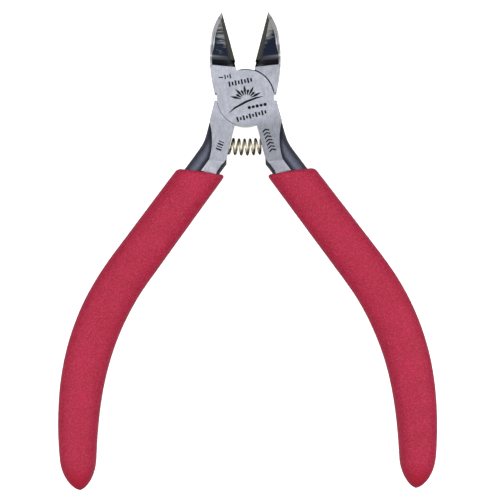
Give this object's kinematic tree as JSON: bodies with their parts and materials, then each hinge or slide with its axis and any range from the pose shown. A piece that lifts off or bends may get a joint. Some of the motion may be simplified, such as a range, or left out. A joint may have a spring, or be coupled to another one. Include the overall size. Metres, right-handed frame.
{
  "type": "flush cutter",
  "caption": "Flush cutter for electronics work: hollow-ground jaws, riveted lap joint, return spring and dipped grips",
  "frame": {"origin": "on the pivot's axis, in the plane of the joint's rear face, which the tool lies on", "axes": "+X across the tool towards the front half's handle, +Y towards the jaws' tips, +Z along the pivot towards the front face"},
  "size_m": [0.0934, 0.1175, 0.01],
  "materials": {
    "forged_steel": "satin ground flats, dark polished hollows and dark forged sides",
    "spring_wire": "drawn wire, gold-coloured",
    "grip_coating": "dipped coating with a fine pebbled skin"
  },
  "bodies": {
    "front_half": {"front_half": "forged_steel", "pivot_rivet": "forged_steel", "front_grip": "grip_coating", "return_spring": "spring_wire"},
    "rear_half": {"rear_half": "forged_steel", "rear_grip": "grip_coating"}
  },
  "joints": [
    {"name": "pivot", "type": "hinge", "parent": "front_half", "child": "rear_half", "pos_m": [0, 0, 0], "axis": [0, 0, 1], "range_deg": [-12, 29.5], "stiffness_Nm_per_rad": 0.23, "deforming": ["return_spring"]}
  ]
}
